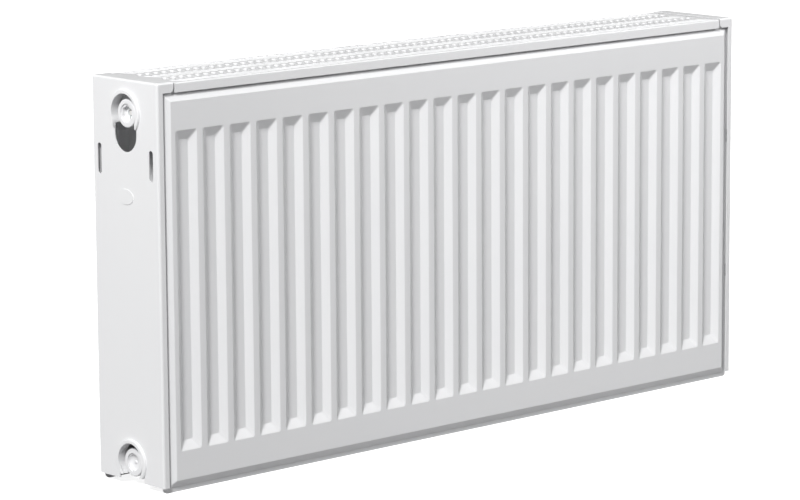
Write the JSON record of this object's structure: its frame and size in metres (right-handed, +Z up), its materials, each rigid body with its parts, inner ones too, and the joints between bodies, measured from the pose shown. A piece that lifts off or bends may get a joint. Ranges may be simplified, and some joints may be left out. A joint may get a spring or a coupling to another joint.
{
  "type": "radiator with valve",
  "caption": "Double-panel wall radiator with vertical flutes, corrugated convectors, slotted top grille, end covers and a built-in thermostatic valve insert.",
  "frame": {"origin": "middle of the footprint's box, at the foot of the panels' seam lips", "axes": "+X along the length towards the valve end, +Z up, the front panel faces -Y and the wall lugs face +Y"},
  "size_m": [0.823, 0.114, 0.4],
  "materials": {
    "white_enamel": "semi-gloss stoved enamel on sheet steel",
    "white_casing": "semi-gloss powder coat on thin sheet steel",
    "spring_steel": "bright zinc-plated spring steel",
    "nickel": "nickel-plated brass",
    "brass": "machined brass",
    "white_plastic": "moulded white plastic",
    "grey_plastic": "moulded grey plastic",
    "seal_rubber": "black seal rubber"
  },
  "bodies": {
    "radiator": {"front_panel_outer_sheet": "white_enamel", "front_panel_inner_sheet": "white_enamel", "rear_panel_inner_sheet": "white_enamel", "rear_panel_outer_sheet": "white_enamel", "front_convector_sheet": "white_enamel", "rear_convector_sheet": "white_enamel", "top_left_connector": "white_enamel", "bottom_left_connector": "white_enamel", "bottom_right_connector": "white_enamel", "valve_housing": "white_enamel", "supply_port": "white_enamel", "return_port": "white_enamel", "port_bracket": "white_enamel", "riser_tube": "white_enamel", "top_left_lug": "white_enamel", "bottom_left_lug": "white_enamel", "top_right_lug": "white_enamel", "bottom_right_lug": "white_enamel", "vent_plug": "white_enamel", "bottom_left_plug": "white_enamel", "bottom_right_plug": "white_enamel", "valve_spring": "spring_steel", "valve_insert_body": "brass", "valve_pin_bush": "brass", "vent_gasket": "seal_rubber", "bottom_left_gasket": "seal_rubber", "bottom_right_gasket": "seal_rubber", "valve_o_ring": "seal_rubber"},
    "left_cover": {"left_end_cover": "white_casing", "left_cover_clips": "spring_steel"},
    "right_cover": {"right_end_cover": "white_casing", "right_cover_clips": "spring_steel"},
    "grille": {"top_grille": "white_casing", "grille_clips": "spring_steel"},
    "cap": {"valve_cap": "white_plastic"},
    "pin": {"valve_pin": "brass", "valve_washer": "seal_rubber"},
    "preset": {"preset_ring": "grey_plastic"},
    "nozzle": {"vent_nozzle": "white_plastic"},
    "bleeder": {"bleed_screw": "nickel"}
  },
  "joints": [
    {"name": "left_cover_pull", "type": "slide", "parent": "radiator", "child": "left_cover", "axis": [-1, 0, 0], "range_m": [0, 0.06]},
    {"name": "right_cover_pull", "type": "slide", "parent": "radiator", "child": "right_cover", "axis": [1, 0, 0], "range_m": [0, 0.06]},
    {"name": "grille_lift", "type": "slide", "parent": "radiator", "child": "grille", "axis": [0, 0, 1], "range_m": [0, 0.06]},
    {"name": "cap_turn", "type": "hinge", "parent": "radiator", "child": "cap", "pos_m": [0.401, -0.0045, 0.3665], "axis": [-1, 0, 0], "range_deg": [0, 550]},
    {"name": "pin_press", "type": "slide", "parent": "radiator", "child": "pin", "axis": [-1, 0, 0], "range_m": [0, 0.0023], "deforming": ["valve_spring"]},
    {"name": "preset_turn", "type": "hinge", "parent": "radiator", "child": "preset", "pos_m": [0.401, -0.0045, 0.3665], "axis": [1, 0, 0], "range_deg": [0, 315]},
    {"name": "nozzle_swivel", "type": "hinge", "parent": "radiator", "child": "nozzle", "pos_m": [-0.4055, -0.0045, 0.3665], "axis": [-1, 0, 0], "continuous": true},
    {"name": "bleed_screw_turn", "type": "hinge", "parent": "radiator", "child": "bleeder", "pos_m": [-0.4055, -0.0045, 0.3665], "axis": [-1, 0, 0], "range_deg": [0, 540]}
  ],
  "couplings": [
    {"joint": "pin_press", "follows": "cap_turn", "m_per_rad": 0.00023873}
  ]
}
